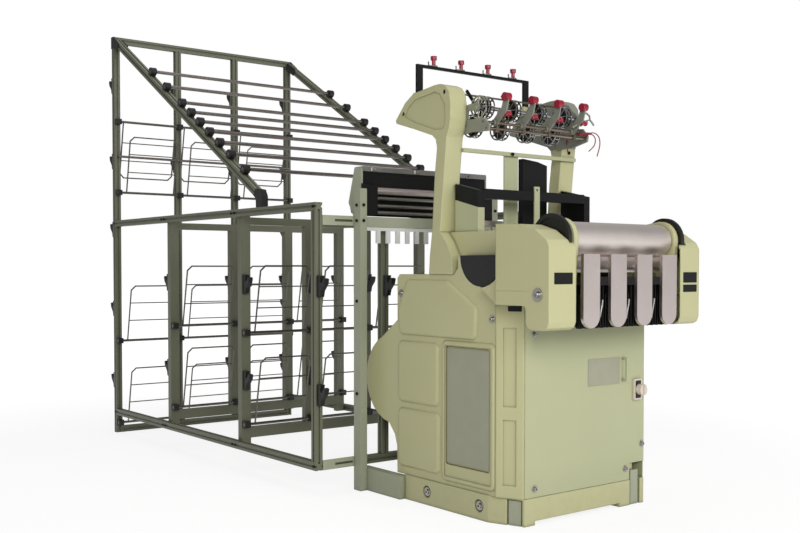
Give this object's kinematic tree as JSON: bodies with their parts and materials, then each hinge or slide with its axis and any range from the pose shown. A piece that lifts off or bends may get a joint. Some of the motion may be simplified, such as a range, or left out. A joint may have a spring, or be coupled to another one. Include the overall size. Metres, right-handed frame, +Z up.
{
  "type": "power loom",
  "caption": "Narrow-fabric power loom: cast body with weaving heads between two columns, cloth take-up in front and a tall warp creel behind.",
  "frame": {"origin": "centre of the whole machine on the floor", "axes": "+X the weaver's right, -Y the weaver's side with the cloth roller, +Y the creel, +Z up"},
  "size_m": [1.207, 3.386, 2.304],
  "materials": {
    "creel_profile": "satin grey-green paint",
    "cream_paint": "smooth satin enamel on castings",
    "green_paint": "satin enamel on folded sheet",
    "black_paint": "satin black",
    "black_plastic": "moulded, fine grain",
    "steel": "turned and ground",
    "rod_steel": "drawn rod, warm tint",
    "chrome": "bright chrome",
    "silver_metal": "satin, slightly pink",
    "red_plastic": "moulded crimson",
    "white_plastic": "moulded pinkish white"
  },
  "bodies": {
    "frame": {"apron_backing": "black_paint", "bare_plates": "silver_metal", "columns": "cream_paint", "creel_fittings": "black_plastic", "creel_inner_frames": "creel_profile", "creel_rails": "creel_profile", "creel_rear_frame": "creel_profile", "cross_bars": "green_paint", "feeder_brackets": "steel", "feeder_rods": "steel", "front_panel": "green_paint", "guide_bars": "steel", "guide_rods": "rod_steel", "letoff_box": "black_paint", "motor": "black_paint", "needle_box": "black_paint", "panel_fittings": "black_plastic", "plinth": "cream_paint", "rear_stand": "green_paint", "rod_clamps": "black_plastic", "side_cover_left": "cream_paint", "side_cover_right": "cream_paint", "side_walls": "cream_paint", "takeup_arms": "cream_paint", "takeup_covers": "cream_paint", "tape_aprons": "silver_metal", "tensioners": "steel", "top_frame": "black_paint", "warp_comb": "white_plastic", "weft_beam": "black_paint"},
    "takeup": {"takeup_roller": "silver_metal", "takeup_discs": "black_plastic"},
    "press_roller": {"press_roller": "silver_metal"},
    "main_shaft": {"main_shaft": "steel"},
    "motor_shaft": {"motor_shaft": "steel"},
    "feed_wheels": {"feed_wheels": "chrome"},
    "idler_wheels": {"idler_wheels": "chrome"},
    "letoff_roller": {"letoff_roller": "silver_metal"},
    "heald_frames_1": {"heald_frames_1": "silver_metal"},
    "heald_frames_2": {"heald_frames_2": "silver_metal"},
    "sley": {"sley": "steel"},
    "weft_needles": {"weft_needles": "steel"},
    "switch_knob": {"switch_knob": "white_plastic"},
    "rear_rocker_1": {"rear_rocker_1": "rod_steel"},
    "rear_rocker_2": {"rear_rocker_2": "rod_steel"},
    "rear_rocker_3": {"rear_rocker_3": "rod_steel"},
    "rear_hanger": {"rear_hanger": "rod_steel"},
    "middle_rocker_1": {"middle_rocker_1": "rod_steel"},
    "middle_rocker_2": {"middle_rocker_2": "rod_steel"},
    "front_rocker_1": {"front_rocker_1": "rod_steel"},
    "front_rocker_2": {"front_rocker_2": "rod_steel"},
    "feeder_arm_1": {"feeder_arm_1": "red_plastic"},
    "tension_knob_1": {"tension_knob_1": "red_plastic"},
    "feeder_arm_2": {"feeder_arm_2": "red_plastic"},
    "tension_knob_2": {"tension_knob_2": "red_plastic"},
    "feeder_arm_3": {"feeder_arm_3": "red_plastic"},
    "tension_knob_3": {"tension_knob_3": "red_plastic"},
    "feeder_arm_4": {"feeder_arm_4": "red_plastic"},
    "tension_knob_4": {"tension_knob_4": "red_plastic"}
  },
  "joints": [
    {"name": "takeup_turn", "type": "hinge", "parent": "frame", "child": "takeup", "pos_m": [0, -1.59, 1.067], "axis": [1, 0, 0], "continuous": true},
    {"name": "press_roller_turn", "type": "hinge", "parent": "frame", "child": "press_roller", "pos_m": [0, -1.61, 0.97587], "axis": [1, 0, 0], "continuous": true},
    {"name": "main_shaft_turn", "type": "hinge", "parent": "frame", "child": "main_shaft", "pos_m": [0, -0.712, 0.495], "axis": [1, 0, 0], "continuous": true},
    {"name": "motor_shaft_turn", "type": "hinge", "parent": "frame", "child": "motor_shaft", "pos_m": [0, -1, 0.235], "axis": [1, 0, 0], "continuous": true},
    {"name": "feed_wheels_turn", "type": "hinge", "parent": "frame", "child": "feed_wheels", "pos_m": [0, -1.078, 1.527], "axis": [1, 0, 0], "continuous": true},
    {"name": "idler_wheels_turn", "type": "hinge", "parent": "frame", "child": "idler_wheels", "pos_m": [0, -1.14226, 1.59354], "axis": [1, 0, 0], "continuous": true},
    {"name": "letoff_roller_turn", "type": "hinge", "parent": "frame", "child": "letoff_roller", "pos_m": [0, -0.546, 1.298], "axis": [1, 0, 0], "continuous": true},
    {"name": "feeder_arm_1_lift", "type": "hinge", "parent": "frame", "child": "feeder_arm_1", "pos_m": [0, -1.18, 1.532], "axis": [1, 0, 0], "range_deg": [-35, 0]},
    {"name": "feeder_arm_2_lift", "type": "hinge", "parent": "frame", "child": "feeder_arm_2", "pos_m": [0, -1.18, 1.532], "axis": [1, 0, 0], "range_deg": [-35, 0]},
    {"name": "feeder_arm_3_lift", "type": "hinge", "parent": "frame", "child": "feeder_arm_3", "pos_m": [0, -1.18, 1.532], "axis": [1, 0, 0], "range_deg": [-35, 0]},
    {"name": "feeder_arm_4_lift", "type": "hinge", "parent": "frame", "child": "feeder_arm_4", "pos_m": [0, -1.18, 1.532], "axis": [1, 0, 0], "range_deg": [-35, 0]},
    {"name": "tension_knob_1_turn", "type": "hinge", "parent": "frame", "child": "tension_knob_1", "pos_m": [-0.228, -0.85, 1.803], "axis": [0, 0, 1], "range_deg": [-180, 180]},
    {"name": "tension_knob_2_turn", "type": "hinge", "parent": "frame", "child": "tension_knob_2", "pos_m": [-0.077, -0.85, 1.803], "axis": [0, 0, 1], "range_deg": [-180, 180]},
    {"name": "tension_knob_3_turn", "type": "hinge", "parent": "frame", "child": "tension_knob_3", "pos_m": [0.077, -0.85, 1.803], "axis": [0, 0, 1], "range_deg": [-180, 180]},
    {"name": "tension_knob_4_turn", "type": "hinge", "parent": "frame", "child": "tension_knob_4", "pos_m": [0.228, -0.85, 1.803], "axis": [0, 0, 1], "range_deg": [-180, 180]},
    {"name": "heald_frames_1_lift", "type": "slide", "parent": "frame", "child": "heald_frames_1", "axis": [0, 0, 1], "range_m": [-0.04, 0]},
    {"name": "heald_frames_2_lift", "type": "slide", "parent": "frame", "child": "heald_frames_2", "axis": [0, 0, 1], "range_m": [0, 0.04]},
    {"name": "sley_rock", "type": "hinge", "parent": "frame", "child": "sley", "pos_m": [0, -1.1, 0.905], "axis": [1, 0, 0], "range_deg": [-6, 6]},
    {"name": "weft_needles_slide", "type": "slide", "parent": "frame", "child": "weft_needles", "axis": [1, 0, 0], "range_m": [-0.05, 0]},
    {"name": "switch_knob_turn", "type": "hinge", "parent": "frame", "child": "switch_knob", "pos_m": [0.357, -1.475, 0.47], "axis": [0, 1, 0], "range_deg": [0, 90]},
    {"name": "rear_rocker_1_rock", "type": "hinge", "parent": "frame", "child": "rear_rocker_1", "pos_m": [0, 1.5815, 1.403], "axis": [1, 0, 0], "range_deg": [-6, 12]},
    {"name": "rear_rocker_2_rock", "type": "hinge", "parent": "frame", "child": "rear_rocker_2", "pos_m": [0, 1.5815, 0.539], "axis": [1, 0, 0], "range_deg": [-6, 12]},
    {"name": "rear_rocker_3_rock", "type": "hinge", "parent": "frame", "child": "rear_rocker_3", "pos_m": [0, 1.5815, 0.06], "axis": [1, 0, 0], "range_deg": [-6, 12]},
    {"name": "rear_hanger_rock", "type": "hinge", "parent": "frame", "child": "rear_hanger", "pos_m": [0, 1.5815, 1.814], "axis": [1, 0, 0], "range_deg": [-5, 10]},
    {"name": "middle_rocker_1_rock", "type": "hinge", "parent": "frame", "child": "middle_rocker_1", "pos_m": [0, 0.9275, 0.654], "axis": [1, 0, 0], "range_deg": [-6, 12]},
    {"name": "middle_rocker_2_rock", "type": "hinge", "parent": "frame", "child": "middle_rocker_2", "pos_m": [0, 0.9275, 0.215], "axis": [1, 0, 0], "range_deg": [-6, 12]},
    {"name": "front_rocker_1_rock", "type": "hinge", "parent": "frame", "child": "front_rocker_1", "pos_m": [0, 0.1595, 0.654], "axis": [1, 0, 0], "range_deg": [-6, 12]},
    {"name": "front_rocker_2_rock", "type": "hinge", "parent": "frame", "child": "front_rocker_2", "pos_m": [0, 0.1595, 0.215], "axis": [1, 0, 0], "range_deg": [-6, 12]}
  ],
  "couplings": [
    {"joint": "press_roller_turn", "follows": "takeup_turn", "ratio": -2.1},
    {"joint": "motor_shaft_turn", "follows": "main_shaft_turn", "ratio": 3.4375},
    {"joint": "idler_wheels_turn", "follows": "feed_wheels_turn", "ratio": -1},
    {"joint": "heald_frames_2_lift", "follows": "heald_frames_1_lift", "ratio": -1}
  ]
}
